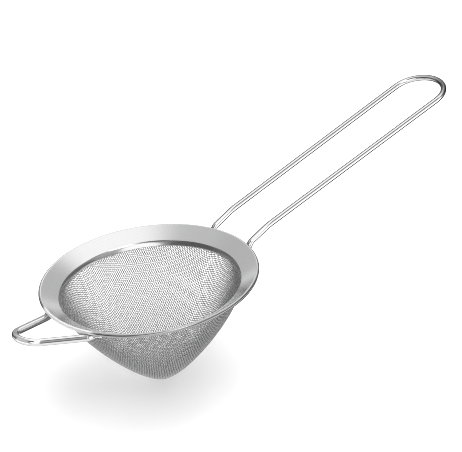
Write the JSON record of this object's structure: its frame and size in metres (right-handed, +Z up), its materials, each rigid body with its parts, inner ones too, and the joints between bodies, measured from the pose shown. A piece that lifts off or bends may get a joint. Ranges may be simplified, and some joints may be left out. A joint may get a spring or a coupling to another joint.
{
  "type": "fine mesh hand strainer",
  "caption": "Conical wire-mesh hand strainer with a pressed rim, a long wire handle and a wire rest loop opposite it.",
  "frame": {"origin": "centre of the plane that touches the top of the rim's rolled lip", "axes": "+Z up out of the mouth, with the basket hanging down; +X from the rim's centre towards the handle"},
  "size_m": [0.2237, 0.085, 0.0672],
  "materials": {
    "rim_sheet": "satin pressed stainless sheet",
    "ring_sheet": "satin stainless sheet",
    "mesh_cloth": "bright woven stainless wire",
    "handle_steel": "polished drawn stainless wire",
    "loop_steel": "polished drawn stainless wire"
  },
  "bodies": {
    "root": {"rim_flange": "rim_sheet", "clamp_ring": "ring_sheet", "mesh_basket": "mesh_cloth", "handle_wire": "handle_steel", "rest_loop": "loop_steel"}
  },
  "joints": []
}
